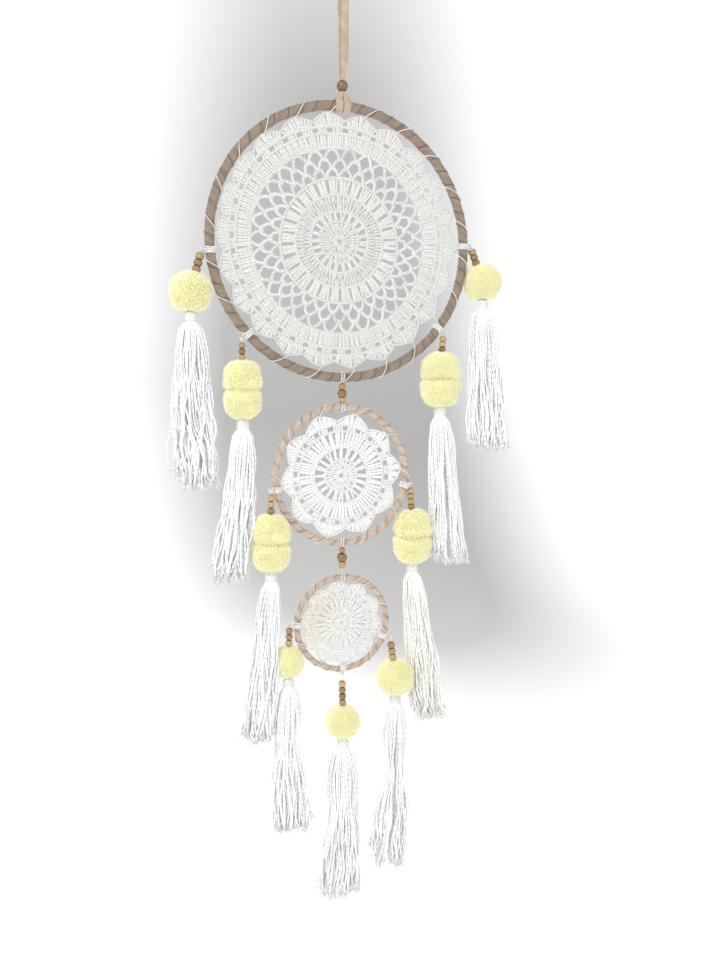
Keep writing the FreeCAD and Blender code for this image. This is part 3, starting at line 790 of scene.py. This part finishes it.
class Crochet:
    """Stitches in a doily's own plane, in polar places round its centre.

    The tall stitches and the net make the cloth; the chain rows lie on them as a piece of their own.
    """

    def __init__(self, hoop):
        offset = DOILY_OFFSET[hoop]
        self.hoop = hoop
        self.centre = HOOPS[hoop]["centre"] + np.array([offset[0], 0, offset[1]])
        self.chance = draws(hoop + "crochet")
        self.waves = self.chance.uniform(0, TURN, 6)
        self.cloth, self.rows = Piece(), Piece()

    def place(self, radius, angle, forward):
        """Points in the part's frame. The hand's unevenness is a slow wave over the whole doily."""
        w = self.waves
        radius = radius + 0.75 * np.sin(3 * angle + w[0]) * np.sin(radius / 14 + w[1])
        angle = angle + 0.022 * np.sin(2 * angle + w[2]) * np.sin(radius / 18 + w[3])
        forward = forward + 0.5 * np.sin(5 * angle + w[4]) * np.sin(radius / 9 + w[5])
        return self.centre + np.stack([radius * np.cos(angle), -forward, radius * np.sin(angle)], axis=-1)

    def posts(self, inner, outer, low_angles, high_angles, wide=1.05):
        """Tall stitches from one round to the next, each slightly out of true and thick at its loops."""
        count = len(low_angles)
        steps = max(5, int((np.max(outer) - inner) / STITCH_STEP) + 1)
        share = np.linspace(0, 1, steps)[None]
        tilt = self.chance.normal(0, 0.55 / max(inner, 8), (count, 1))
        angle = blend(share, low_angles[:, None], high_angles[:, None] + tilt)
        radius = blend(share, inner, np.broadcast_to(outer, count)[:, None])
        bulge = self.chance.uniform(0, 0.5, (count, 1)) * np.sin(math.pi * share)
        knots = 1 + 0.10 * np.sin(share * math.pi * steps * 0.42 + self.chance.uniform(0, 6, (count, 1)))
        tones = self.chance.uniform(0.5, 1.0, count)
        self.cloth.tubes(self.place(radius, angle, bulge), POST_RADIUS * wide * knots, 8, tones, BACK,
                         POST_LOBES, POST_PITCH, POST_FLAT)

    def rope(self, piece, radius, angle, thick, closed, forward):
        """Two plies of a chain row through polar places."""
        path = even(self.place(radius, angle, forward), 0.85, closed)
        piece.thread(path, CHAIN_PITCH, 0.8 * thick, thick, 6, self.chance.uniform(0.3, 1.0, 2), BACK)

    def ring(self, radius, thick=0.6, ripple=0.3, waves=40):
        angle = np.linspace(0, TURN, 241)[:-1]
        self.rope(self.rows, radius + ripple * np.sin(waves * angle), angle, thick, True, 0.5)

    def spread_posts(self, inner, outer, count, turned=0.0, wide=1.05):
        angles = turned + np.arange(count) * TURN / count
        self.posts(inner, outer, angles, angles, wide)

    def clusters(self, inner, outer, count, members, low_span, high_span, turned=0.0, wide=1.05):
        """Groups of stitches side by side. The spans say how much of each step a group takes up."""
        step = TURN / count
        member = np.linspace(-0.5, 0.5, members)
        groups = turned + np.arange(count)[:, None] * step
        low = (groups + member * low_span * step).ravel()
        high = (groups + member * high_span * step).ravel()
        self.posts(inner, outer, low, high, wide)

    def net(self, inner, outer, count, turned, thick=0.92):
        """Loops of chain from crown to crown; the next round hangs in the middle of these."""
        step = TURN / count
        share = np.linspace(0, 1, 15)
        rise = np.sin(math.pi * share) ** 0.8
        for k in range(count):
            slack = 1 + self.chance.normal(0, 0.05)
            angle = turned + (k + 0.05 + 0.9 * share) * step
            self.rope(self.cloth, inner + (outer - inner) * rise * slack, angle, thick, False, 0.2)
            foot = turned + k * step + np.array([-0.09, 0.09]) * step
            self.posts(inner - 1.6, inner + 1.5, foot, foot[::-1], 1.25)

    def fans(self, inner, valley, tip, count, members, turned, wide=1.05):
        """Pointed scallops: trebles that spread from their base to the scalloped edge, and its chain."""
        step = TURN / count
        member = np.linspace(-0.5, 0.5, members)
        height = valley + (tip - valley) * (1 - np.abs(member) * 2) ** 0.8
        for k in range(count):
            middle = turned + k * step
            self.posts(inner, height - 0.4, middle + member * 0.74 * step, middle + member * 0.9 * step, wide)
        share = np.linspace(-0.5, 0.5, 21)[:-1]
        edge = valley + (tip - valley) * (1 - np.abs(share) * 2) ** 0.8
        angle = (turned + np.arange(count)[:, None] * step + share[None] * step).ravel()
        self.rope(self.rows, np.tile(edge, count), angle, 0.6, True, 0.3)

    def make(self, name, material, outer, inner=0.0):
        """The chain rows and the cloth as two pieces; outer and inner, measured to the middle of the
        scallops, are not used.
        """
        body = f"{self.hoop}_hoop"
        rows = self.rows.make(f"{name}_rows", material, body, (), "crochet_cotton")
        cloth = self.cloth.make(name, material, body, [f"{self.hoop}_doily"], "crochet_cotton")


SCALLOPS = {"large": (22, 14.6), "middle": (10, 5.0), "small": (10, 26.0)}
DOILY_OFFSET = {"large": (-2.6, 1.5), "middle": (-0.9, 0.0), "small": (-0.6, 0.4)}
DOILY_TIP = {"large": 113.6, "middle": 58.4, "small": 40.2}


def large_doily(material):
    turned = math.radians(SCALLOPS["large"][1])
    tip = DOILY_TIP["large"]
    centre = Crochet("large")
    centre.ring(2.9, waves=8)
    centre.spread_posts(3.0, 10.2, 18)
    centre.ring(10.2, waves=20)
    centre.spread_posts(10.4, 17.8, 36, 0.05)
    centre.ring(18.2, 0.7, waves=44)
    centre.clusters(18.4, 26.8, 22, 2, 0.24, 0.25, wide=1.1)
    centre.ring(27.2, 0.75, waves=44)
    centre.spread_posts(27.4, 33.8, 66)
    centre.ring(34.0, 0.5, waves=66)
    centre.spread_posts(34.2, 40.8, 84, 0.03)
    centre.ring(41.2, 0.75, waves=84)
    centre.clusters(41.4, 54.6, 30, 4, 0.50, 0.62, wide=1.15)
    centre.ring(55.4, 0.85, waves=60)
    step = TURN / 30
    centre.net(56.4, 64.6, 30, step / 2)
    centre.net(64.0, 73.0, 30, 0.0)
    centre.net(72.4, 81.6, 30, step / 2)
    centre.make("large_doily_centre", material, 81.0)

    edge = Crochet("large")
    edge.clusters(81.0, 94.6, 30, 8, 0.85, 0.89, step, 1.15)
    edge.ring(95.2, 0.8, waves=88)
    edge.clusters(95.4, 100.8, 44, 4, 0.48, 0.50, turned + TURN / 88, 1.1)
    edge.ring(101.2, 0.8, waves=88)
    edge.fans(101.4, 106.0, tip, 22, 12, turned, 1.15)
    edge.make("large_doily_edge", material, tip - 3.0, 80.6)


def middle_doily(material):
    turned = math.radians(SCALLOPS["middle"][1])
    doily = Crochet("middle")
    doily.ring(3.0, waves=8)
    doily.spread_posts(3.2, 8.4, 16)
    doily.ring(8.6, 0.55, waves=16)
    doily.spread_posts(8.8, 14.6, 30, 0.1)
    doily.ring(15.0, 0.7, waves=40)
    doily.clusters(15.2, 25.6, 20, 2, 0.22, 0.27, wide=1.1)
    doily.ring(26.2, 0.75, waves=40)
    doily.spread_posts(26.4, 40.6, 70, 0.1, 1.45)
    doily.ring(41.0, 0.75, waves=80)
    doily.clusters(41.2, 46.8, 20, 4, 0.50, 0.56, turned)
    doily.ring(47.2, 0.75, waves=40)
    doily.fans(47.4, 49.6, DOILY_TIP["middle"], 10, 14, turned, 1.3)
    doily.make("middle_doily_crochet", material, DOILY_TIP["middle"] - 3.5)


def small_doily(material):
    turned = math.radians(SCALLOPS["small"][1])
    doily = Crochet("small")
    doily.ring(1.9, 0.5, waves=6)
    doily.spread_posts(2.0, 7.8, 18, wide=1.1)
    doily.ring(8.0, 0.5, waves=16)
    doily.spread_posts(8.2, 14.2, 36, 0.1, 1.05)
    doily.ring(14.8, 0.65, waves=48)
    doily.clusters(15.0, 24.4, 24, 2, 0.27, 0.36, wide=1.0)
    doily.ring(25.0, 0.7, waves=48)
    doily.spread_posts(25.2, 29.6, 64, 0.1, 1.1)
    doily.clusters(29.8, 32.2, 20, 4, 0.56, 0.58, turned, 1.05)
    doily.ring(32.6, 0.7, waves=40)
    doily.fans(32.8, 34.2, DOILY_TIP["small"], 10, 10, turned, 1.1)
    doily.make("small_doily_crochet", material, DOILY_TIP["small"] - 2.5)


# ---------------- threads on the hoops

# thread: pitch of its twist, spread and radius of its two plies, and sides of each ply
THREADS = {
    "lacing": (3.2, 0.26, 0.34, 5),
    "tie": (4.4, 0.40, 0.50, 6),
    "link_tie": (3.6, 0.30, 0.42, 6),
    "knot": (3.6, 0.28, 0.42, 5),
    "tail": (3.2, 0.28, 0.36, 5),
    "cord": (3.0, 0.28, 0.32, 5),
}
LACING_SLANT = {"large": 7.0, "middle": 9.0, "small": 10.0}
# the lacing's distance from the tube, how far inside a scallop's tip it goes through, and its steps
LACING_REACH, LACING_INSIDE, LACING_STEPS = 0.55, 1.2, 40
# the part of its turn round the tube in which the thread runs along the back
LACING_BEHIND = (0.04, 0.36)


def doily_lacing(hoop, material):
    """One thread that goes behind the tube, over its front and through a scallop's tip, all the way round."""
    facts = HOOPS[hoop]
    scallops, first = SCALLOPS[hoop]
    step = TURN / scallops
    slant = math.radians(LACING_SLANT[hoop])
    uneven = draws(hoop + "lacing").normal(0, 0.12, scallops) * slant
    around = np.arange(LACING_STEPS) / LACING_STEPS
    hook = np.clip(np.cos(around * TURN), 0, 1) ** 8
    rows = []
    for k in range(scallops):
        here = math.radians(first) + k * step
        after = here + step
        outside = after - slant + uneven[k]
        angle = np.where(around < 0.5, blend(between(around, *LACING_BEHIND), here, outside),
                         blend(around * 2 - 1, outside, after))
        tips = [np.hypot(*(np.array(DOILY_OFFSET[hoop]) + (DOILY_TIP[hoop] - LACING_INSIDE)
                           * np.array([math.cos(place), math.sin(place)]))) for place in (here, after)]
        gap = facts["radius"] - 2 * facts["tube"] - np.where(around < 0.5, *tips)
        rows.append(on_tube(hoop, angle, around * TURN, facts["tube"] + LACING_REACH + gap * hook))
    piece = Piece()
    piece.thread(even(np.concatenate(rows), 1.1, True), *THREADS["lacing"], 0.8)
    piece.make(f"{hoop}_lacing_thread", material, f"{hoop}_hoop", [f"{hoop}_doily_lacing"], "white_thread")


# distances of the windings' thread from the tube; a string's tie has two layers: turns, pitch, how far
# out the layer lies, and tone
TIE_REACH, LINK_TIE_REACH = 0.77, 0.57
TIE_LAYERS = ((2.6, 2.1, 0.0, 0.9), (1.7, -1.6, 0.9, 0.8))
# the knot's curve stays this far inside the end of the string's cord, which turns about the knot
KNOT_CLEARANCE = 1.1
# how far the knot's two loose ends lean fore and aft, and their shortest and longest
TAIL_LEANS, TAIL_LENGTHS = (-0.5, 0.45), (3.0, 4.5)


def knot_curve(centre, size, chance):
    """A small overhand knot: a closed curve that winds three times through itself."""
    angle = np.linspace(0, TURN, 60)
    radius = size * (0.62 + 0.38 * np.cos(3 * angle))
    turn = chance.uniform(0, TURN)
    return centre + np.stack([
        radius * np.cos(2 * angle + turn), radius * np.sin(2 * angle + turn), size * 0.62 * np.sin(3 * angle),
    ], axis=1)


def thread_tail(start, heading, chance):
    """A short loose end that bends over a little."""
    share = np.linspace(0, 1, 12)[:, None]
    length = chance.uniform(*TAIL_LENGTHS)
    sideways = chance.normal(0, 0.12, 3)
    return start + length * (share * unit(heading + sideways) + np.array([0, 0, -0.2]) * share ** 2)


def string_tie(piece, hoop, string, chance):
    """Two layers of winding round the tube, the string's knot below them, and the knot's loose ends."""
    facts = HOOPS[hoop]
    knot = KNOTS[f"{string}_string"]
    away = knot - facts["centre"]
    angle = math.atan2(away[2], away[0])
    for turns, pitch, out, tone in TIE_LAYERS:
        reach = facts["tube"] + TIE_REACH + out
        winding = helix_round_tube(hoop, angle, turns, pitch, reach, math.pi * 0.9)
        piece.thread(winding, *THREADS["tie"], tone)
    cord = vector([vertex.co[:] for vertex in frame["nodes"][f"{string}_cord"].data.vertices])
    knot_size = np.linalg.norm(cord - knot, axis=1).min() - KNOT_CLEARANCE
    piece.thread(knot_curve(knot, knot_size, chance), *THREADS["knot"])
    outward = np.array([math.cos(angle), 0, math.sin(angle)])
    for lean in TAIL_LEANS:
        heading = outward * 0.5 + np.array([0.1 * lean, lean, 0.8])
        piece.thread(thread_tail(knot - 0.3 * outward, heading, chance), *THREADS["tail"])


def hoop_ties(hoop, material):
    chance = draws(hoop + "ties")
    piece = Piece()
    for string, where in STRINGS.items():
        if where == hoop:
            string_tie(piece, hoop, string, chance)
    for above, below in LINKS.values():
        if hoop in (above, below):
            angle = math.radians(-90 if hoop == above else 90)
            reach = HOOPS[hoop]["tube"] + LINK_TIE_REACH
            piece.thread(helix_round_tube(hoop, angle, 2.0, 2.2, reach, math.pi), *THREADS["link_tie"])
    piece.make(f"{hoop}_tie_threads", material, f"{hoop}_hoop", [f"{hoop}_hoop_ties"], "white_thread")


# ---------------- beads and cords

DOWN = np.array([0.0, 0.0, -1.0])
BEAD_SIDES, BEAD_ROWS = 28, 15
BEAD_HOLE, TOP_BEAD_HOLE = 0.8, 2.6
# how far inside its ends the bore's wall starts, and how far the face round them stands out
BORE_EDGE, FACE_BULGE = 0.25, 0.12
LINK_BEAD_TONES = (0.55, 0.3, 0.75)
TOP_BEAD_TONES = (0.22,)


def turned_bead(piece, centre, axis, radius, half_length, hole, tone):
    """A round bead with softened ends and a bored hole, turned about its axis."""
    end = math.asin(min(0.98, half_length / radius))
    belly = [(radius * math.cos(a), radius * math.sin(a)) for a in np.linspace(-end, end, BEAD_ROWS)]
    face = [(blend(share, hole, belly[-1][0]), half_length + FACE_BULGE * math.sin(math.pi * share))
            for share in (0.75, 0.45, 0.15)]
    bore = [(hole, half_length - BORE_EDGE), (hole, 0.0), (hole, BORE_EDGE - half_length)]
    profile = np.array(belly + face + bore + [(r, -z) for r, z in face[::-1]])
    along = np.abs(profile[:, 1]) / half_length
    # the bore gets the full painted shade of the ends
    along[profile[:, 0] < hole + 1e-6] = 1.0
    side = unit(np.cross(axis, (0.3, 1.0, 0.2)))
    around = np.arange(BEAD_SIDES)[:, None] * TURN / BEAD_SIDES
    spoke = np.cos(around) * side + np.sin(around) * np.cross(axis, side)
    points = centre + profile[:, :1, None] * spoke + profile[:, 1:, None] * axis
    piece.bands(points[None], np.zeros((1, len(profile) + 1)), 0.0, tone, along[:, None], looped=True)


def bead_facts(points, axis):
    centre = middle_of(points)
    away = points - centre
    reach = away @ axis
    radius = np.linalg.norm(away - reach[:, None] * axis, axis=1).max()
    return centre, radius, np.abs(reach).max()


def bead_row(name, node, axis, material, body, hole=BEAD_HOLE, tones=None):
    chance = draws(name)
    piece = Piece()
    for k, points in enumerate(solids(node)):
        tone = chance.uniform(0.25, 0.95) if tones is None else tones[k]
        centre, radius, half_length = bead_facts(points, axis)
        turned_bead(piece, centre, axis, radius, half_length, hole, tone)
    piece.make(name, material, body, [node], "bead_wood")


def string_cord(name, node, points, material, body):
    """The thread through the beads and pompoms, as two plies."""
    piece = Piece()
    piece.thread(even(points, 1.0), *THREADS["cord"], 0.85)
    piece.make(name, material, body, [node], "white_thread")


# ---------------- pompoms

TUFTS_PER_MM2 = 1.55
# shares of the ball's size at which the tufts start and its solid core ends
TUFT_ROOT, WOOL_CORE = 0.76, 0.865
# a tuft's radius, a stray one's, and the share of it from root to tip; how many are stray, and how far
TUFT_RADIUS, STRAY_RADIUS, TUFT_TAPER = 0.46, 0.2, (1.0, 1.0, 0.5)
STRAY_SHARE, STRAY_REACH = 0.24, (0.02, 0.10)
# A ball is a little squarer than a sphere by this power, and more so where its neighbour presses it.
BALL_POWER, PAIR_POWER, PRESSED_POWER = 2.2, 2.35, 2.2
# A pair's balls: how much slimmer, what their half height gains, and how far they sit towards each other.
PAIR_SLIMMER, PAIR_HIGHER, PAIR_CLOSER = 0.085, 1.9, 0.5


def pompom_shape(rays, power, press, phases):
    """How far the trimmed surface lies out along each ray, as a share of the ball's size."""
    lumps = 1 + 0.035 * np.sin(5 * rays[:, 0] + phases[0]) * np.sin(6 * rays[:, 2] + phases[1])
    square = power + PRESSED_POWER * np.clip(rays[:, 2] * press * 2.5, 0, 1)
    return (np.abs(rays) ** square[:, None]).sum(axis=1) ** (-1 / square) * lumps


def pompom_ball(piece, points, chance, power, press):
    """Cut wool round a core: each fine tuft leans a little and ends at the trimmed surface.

    press says where a neighbour's ball flattens this one: 1 at its top, -1 at its bottom, 0 not at all.
    """
    size = (points.max(axis=0) - points.min(axis=0)) / 2
    size = size * (1 - PAIR_SLIMMER * abs(press)) + (0.0, 0.0, PAIR_HIGHER * abs(press))
    centre = middle_of(points) + (0.0, 0.0, PAIR_CLOSER * press)
    count = int(4 * math.pi * size[0] * size[2] * TUFTS_PER_MM2)
    order = np.arange(count) + 0.5
    height = 1 - 2 * order / count
    angle = order * GOLDEN_ANGLE + chance.normal(0, 0.08, count)
    level = np.sqrt(1 - height ** 2)
    ray = unit(np.stack([level * np.cos(angle), level * np.sin(angle), height], axis=1)
               + chance.normal(0, 0.02, (count, 3)))
    outline = power, press, chance.uniform(0, 6, 3)
    surface = pompom_shape(ray, *outline)[:, None]
    trim = surface * (1 + chance.normal(0, 0.03, (count, 1)))
    stray = chance.random((count, 1)) < STRAY_SHARE
    trim = trim + stray * chance.uniform(*STRAY_REACH, (count, 1))
    tips = centre + ray * size * trim
    roots = centre + unit(ray + chance.normal(0, 0.08, (count, 3))) * size * TUFT_ROOT * surface
    share = np.linspace(0, 1, len(TUFT_TAPER))[None, :, None]
    bend = chance.normal(0, 0.35, (count, 1, 3)) * np.sin(math.pi * share)
    thick = np.where(stray, STRAY_RADIUS, TUFT_RADIUS) * chance.uniform(0.8, 1.2, (count, 1))
    piece.tubes(blend(share, roots[:, None], tips[:, None]) + bend, thick * TUFT_TAPER, 3,
                chance.uniform(0, 1, count))
    ball = bmesh.new()
    bmesh.ops.create_icosphere(ball, subdivisions=4, radius=1.0)
    core = np.array([vertex.co[:] for vertex in ball.verts])
    triangles = np.array([[vertex.index for vertex in face.verts] for face in ball.faces])
    ball.free()
    piece.add(centre + core * size * WOOL_CORE * pompom_shape(core, *outline)[:, None], triangles,
              np.zeros((len(triangles), 3, 2)), 0.5, 0.5)


def pompoms(string, material):
    chance = draws(string + "pompom")
    balls = solids(f"{string}_pompom")
    piece = Piece()
    for points, press in zip(balls, (-1, 1) if len(balls) == 2 else (0,)):
        pompom_ball(piece, points, chance, PAIR_POWER if press else BALL_POWER, press)
    piece.make(f"{string}_pompom_yarn", material, f"{string}_string", [f"{string}_pompom"], "pompom_yarn")


# ---------------- tassels

STRANDS, STRAND_STEPS, STRAND_RADIUS = 120, 84, 0.84
# length of the bound head and the reach of its strands, which swell from there towards the hem: shares
# of the way down, and of the hem's width at them
HEAD_LENGTH, HEAD_REACH = 8.0, 3.9
SWELL_PLACES, SWELL = (0.0, 0.05, 0.18, 0.5, 1.0), (0.0, 0.42, 0.68, 0.88, 1.14)
# At its end a strand frays into plies: counted back from the end, the step where it is cut and the step
# where the plies start; then how many steps long they are, and their radius from there to their tips.
FRAY_PLIES, FRAY_CUT, FRAY_START, FRAY_SPAN = 3, 5, 7, 5.5
FRAY_RADII = (0.55, 0.55, 0.52, 0.5, 0.46, 0.32)
BINDING_TURNS, BINDING_REACH, BINDING_THREAD = 6.5, 5.25, 0.46
BINDING_PLACE = (0.35, 0.95)
# string: how far its strands wander, the gap between its two bundles, the share cut short on the left,
# how much shorter that is, how far it sways, and how tightly it is pinched near its middle
TASSEL_HABIT = {
    "outer_left": (3.2, 0.00, 0.35, 12.0, 1.5, 0.00),
    "lower_left": (2.2, 0.00, 0.15, 6.0, 1.5, 0.00),
    "middle_left": (1.8, 0.00, 0.20, 8.0, 1.0, 0.00),
    "small_left": (1.8, 0.05, 0.10, 8.0, 3.2, 0.25),
    "bottom": (1.8, 0.00, 0.20, 8.0, 1.5, 0.15),
    "small_right": (2.2, 0.26, 0.42, 22.0, 2.0, 0.45),
    "middle_right": (2.2, 0.00, 0.30, 10.0, 1.5, 0.00),
    "lower_right": (1.5, 0.20, 0.40, 8.0, 0.8, 0.00),
    "outer_right": (1.8, 0.05, 0.20, 6.0, 1.0, 0.00),
}


def tassel_facts(string):
    """Top of the tassel, its length, and how far aside, how wide and how deep it is at its hem."""
    skirt = solids(f"{string}_tassel")[0]
    top_level = skirt[:, 2].max()
    bottom_level = skirt[:, 2].min()
    top = middle_of(skirt[skirt[:, 2] > top_level - 0.1])
    hem = skirt[skirt[:, 2] < bottom_level + 0.1]
    half = (hem.max(axis=0) - hem.min(axis=0)) / 2
    return top, top_level - bottom_level, middle_of(hem)[0] - top[0], half[0], half[1]


def strand_paths(string, facts, chance):
    """Paths of the tassel's strands, and the length of each."""
    wander, split, short_share, short_by, sway, pinch = TASSEL_HABIT[string]
    top, length, drift, half_width, half_depth = facts
    order = np.arange(STRANDS)[:, None] + 0.5
    sideways = np.sqrt(order / STRANDS) * np.cos(order * GOLDEN_ANGLE)
    forward = np.sqrt(order / STRANDS) * np.sin(order * GOLDEN_ANGLE)
    ends = length - np.abs(chance.normal(0, 6.5, (STRANDS, 1))) - 1.0
    cut = (sideways < -1 + 2 * short_share) & (chance.random((STRANDS, 1)) < 0.85)
    ends = ends - cut * (short_by + chance.normal(0, 2.0, (STRANDS, 1)))
    down = np.linspace(0, 1, STRAND_STEPS) * ends
    fallen = between(down, HEAD_LENGTH, length)
    swell = np.interp(fallen, SWELL_PLACES, SWELL)
    bulb = 1 + 0.12 * np.sin(math.pi * between(down, 0, HEAD_LENGTH))
    wide = bulb * blend(swell, HEAD_REACH, half_width - 1.2)
    deep = bulb * blend(np.sqrt(swell), HEAD_REACH, half_depth - 1.0)
    aside = np.sign(sideways) * blend(split * between(fallen, 0, 0.4), np.abs(sideways), 1.0)
    pinched = 1 - pinch * np.exp(-((fallen - 0.42) / 0.13) ** 2)
    freedom = wander * fallen ** 0.8
    phase = chance.uniform(0, TURN, (STRANDS, 6))
    slow, quick = chance.uniform(0.7, 1.6, (STRANDS, 1)), chance.uniform(2.2, 5.0, (STRANDS, 1))

    def wave(column):
        """A slow wave down each strand and a quick one on it, each with a phase of its own."""
        return (np.sin(TURN * slow * fallen + phase[:, column, None])
                + 0.4 * np.sin(TURN * quick * fallen + phase[:, column + 1, None]))

    lock = np.floor(sideways * 2.2 + forward * 1.4 + 8)
    lock_wave = 1.1 * np.sin(TURN * (0.9 + 0.13 * lock) * fallen + lock * 2.1)
    swing = sway * fallen ** 0.7 * np.sin(TURN * 0.8 * fallen + phase[0, 4])
    x = top[0] + drift * fallen ** 1.15 + aside * wide * pinched + freedom * (wave(0) + lock_wave) + swing
    y = top[1] + forward * deep + 0.6 * freedom * wave(2)
    return np.stack([x, y, top[2] - down], axis=-1), ends


def frayed_plies(paths, ends, chance):
    """The plies that each strand opens into at its end."""
    start = paths[:, -FRAY_START]
    heading = unit(paths[:, 1 - FRAY_START] - paths[:, -1 - FRAY_START])
    plies = []
    for _ in range(FRAY_PLIES):
        out = chance.normal(0, 0.17, (STRANDS, 3)) * (1, 1, 0)
        reach = ends * FRAY_SPAN / STRAND_STEPS + chance.uniform(-2.5, 1.5, (STRANDS, 1))
        shares = np.linspace(0, 1, len(FRAY_RADII))
        plies.append(np.stack([start + (heading * s + out * s ** 1.4) * reach for s in shares], axis=1))
    return np.concatenate(plies)


def tassel_binding(string, top, material):
    """Thread wound round the tassel's head."""
    around = np.linspace(0, BINDING_TURNS * TURN, int(BINDING_TURNS * 22))
    reach = BINDING_REACH + 0.12 * np.sin(around * 0.37)
    level = -HEAD_LENGTH * blend(around / around[-1], *BINDING_PLACE)
    coil = top + np.stack([reach * np.cos(around), reach * np.sin(around), level], axis=1)
    piece = Piece()
    piece.tubes(coil[None], BINDING_THREAD, 6, 0.9)
    piece.make(f"{string}_tassel_binding", material, f"{string}_string", (), "white_thread")


def tassel(string, material, binding_material):
    chance = draws(string + "tassel")
    facts = tassel_facts(string)
    paths, ends = strand_paths(string, facts, chance)
    tones = chance.uniform(0, 1, STRANDS)
    radius = STRAND_RADIUS * chance.uniform(0.88, 1.12, (STRANDS, 1))
    piece = Piece()
    piece.tubes(paths[:, :-FRAY_CUT], radius, 5, tones, (1.0, 0.0, 0.0), 0.16, YARN_PITCH)
    piece.tubes(frayed_plies(paths, ends, chance), FRAY_RADII, 4, np.tile(tones, FRAY_PLIES))
    piece.make(f"{string}_tassel_yarn", material, f"{string}_string", [f"{string}_tassel"], "tassel_yarn")
    tassel_binding(string, facts[0], binding_material)


# ---------------- assembly

# how far below the middle of its knot a string's cord starts, and the one tassel of cream yarn
CORD_START = 2.4
CREAM_STRING = "middle_right"


def hanging_string(string, paint):
    body = f"{string}_string"
    knot = KNOTS[body]
    bend = middle_of(solids(f"{string}_pompom")[0])
    foot = np.array([bend[0], bend[1], vector(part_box(f"{string}_tassel")[1])[2]])
    axis = unit(bend - knot)
    bead_row(f"{string}_turned_beads", f"{string}_beads", axis, paint["wood"], body)
    route = [knot + axis * CORD_START, bend, foot]
    string_cord(f"{string}_thread", f"{string}_cord", route, paint["thread"], body)
    pompoms(string, paint["pompom"])
    tassel(string, paint["cream_yarn" if string == CREAM_STRING else "yarn"], paint["thread"])


def link(name, paint):
    low, high = (vector(corner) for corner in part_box(f"{name}_cord"))
    middle = (low + high) / 2
    route = [(middle[0], middle[1], level) for level in (high[2], low[2])]
    string_cord(f"{name}_thread", f"{name}_cord", route, paint["thread"], name)
    bead_row(f"{name}_turned_beads", f"{name}_beads", DOWN, paint["wood"], name, tones=LINK_BEAD_TONES)


make_camera()
studio()
paint = materials()
bead_row("top_bead_turned", "top_bead", DOWN, paint["wood"], "hanger", TOP_BEAD_HOLE, TOP_BEAD_TONES)
hanging_lace(paint["suede"])
lace_hitch(paint["suede"])
for hoop_name in HOOPS:
    hoop_core(hoop_name, paint["core"])
    hoop_paint = "large_ribbon" if hoop_name == "large" else "pale_ribbon"
    hoop_ribbon(hoop_name, paint[hoop_paint], hoop_paint)
    doily_lacing(hoop_name, paint["thread"])
    hoop_ties(hoop_name, paint["thread"])
# the large doily takes the darker copy of the cotton, as painted shade
large_doily(paint["large_crochet"])
middle_doily(paint["crochet"])
small_doily(paint["small_crochet"])
for link_name in LINKS:
    link(link_name, paint)
for string_name in STRINGS:
    hanging_string(string_name, paint)
